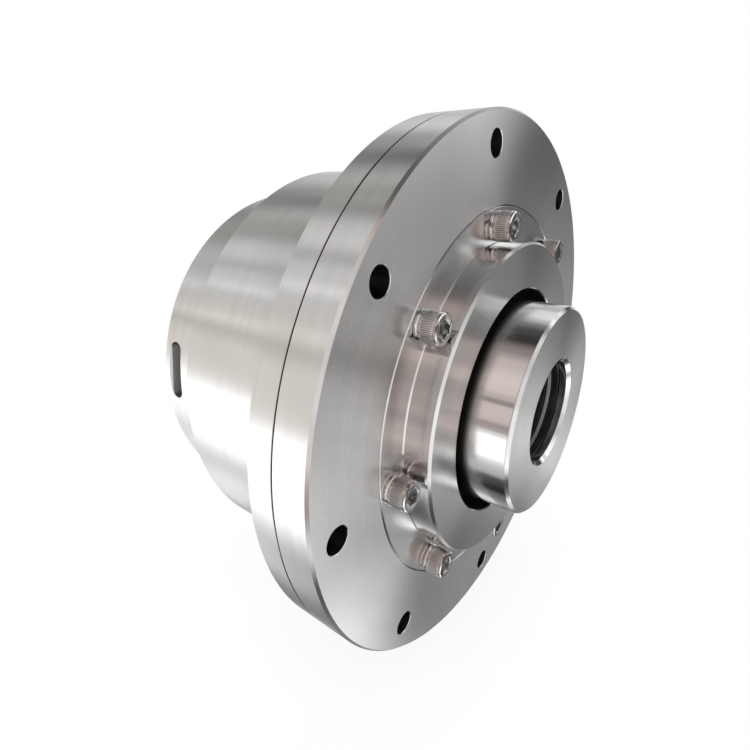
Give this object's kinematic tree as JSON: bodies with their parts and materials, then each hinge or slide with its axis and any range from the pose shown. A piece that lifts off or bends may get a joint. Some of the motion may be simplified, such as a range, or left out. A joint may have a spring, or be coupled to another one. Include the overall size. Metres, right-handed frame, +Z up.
{
  "type": "single mechanical seal",
  "caption": "Cartridge shaft seal: bolted round flange with a raised boss, turned barrel behind it, and a sleeve that turns inside on sprung sliding faces.",
  "frame": {"origin": "on the shaft axis, in the plane of the flange's rear mounting face", "axes": "+X along the shaft axis towards the nose of the sleeve, +Z up"},
  "size_m": [0.1327, 0.2, 0.2],
  "materials": {
    "turned_steel": "fine turned stainless steel, bright",
    "faced_steel": "faced stainless steel with circular marks",
    "insert_steel": "faced stainless steel with circular marks",
    "ring_steel": "fine turned stainless steel",
    "polished_steel": "ground and polished stainless steel",
    "collar_steel": "turned stainless steel",
    "screw_steel": "stainless cap screws with knurled heads",
    "spring_steel": "drawn spring steel",
    "dark_spring_steel": "oiled spring steel",
    "pin_steel": "ground dowel steel",
    "seal_rubber": "black elastomer",
    "bore_rubber": "greased black elastomer",
    "seat_ceramic": "lapped silicon carbide",
    "face_carbon": "lapped carbon graphite",
    "bush_carbon": "carbon graphite"
  },
  "bodies": {
    "gland": {"seal_housing": "turned_steel", "cover_flange": "faced_steel", "gland_insert": "insert_steel", "gland_screws": "screw_steel", "lock_washers": "spring_steel", "housing_o_ring": "seal_rubber", "gland_o_ring": "seal_rubber", "seat_ring": "seat_ceramic", "seat_o_ring": "seal_rubber", "seat_pins": "pin_steel", "throttle_bush": "bush_carbon", "bush_snap_ring": "dark_spring_steel", "rear_ring": "ring_steel", "rear_ring_screws": "screw_steel"},
    "rotor": {"shaft_sleeve": "polished_steel", "bore_o_rings": "bore_rubber", "drive_collar": "collar_steel", "set_screws": "screw_steel", "springs": "spring_steel", "drive_pins": "pin_steel", "collar_snap_ring": "dark_spring_steel"},
    "face_unit": {"seal_ring": "face_carbon", "ring_o_ring": "seal_rubber", "thrust_ring": "collar_steel"}
  },
  "joints": [
    {"name": "rotor_spin", "type": "hinge", "parent": "gland", "child": "rotor", "pos_m": [0, 0, 0], "axis": [1, 0, 0], "continuous": true},
    {"name": "face_float", "type": "slide", "parent": "rotor", "child": "face_unit", "axis": [-1, 0, 0], "range_m": [0, 0.002], "stiffness_N_per_m": 3000, "springref_m": -0.012, "deforming": ["springs"]}
  ]
}
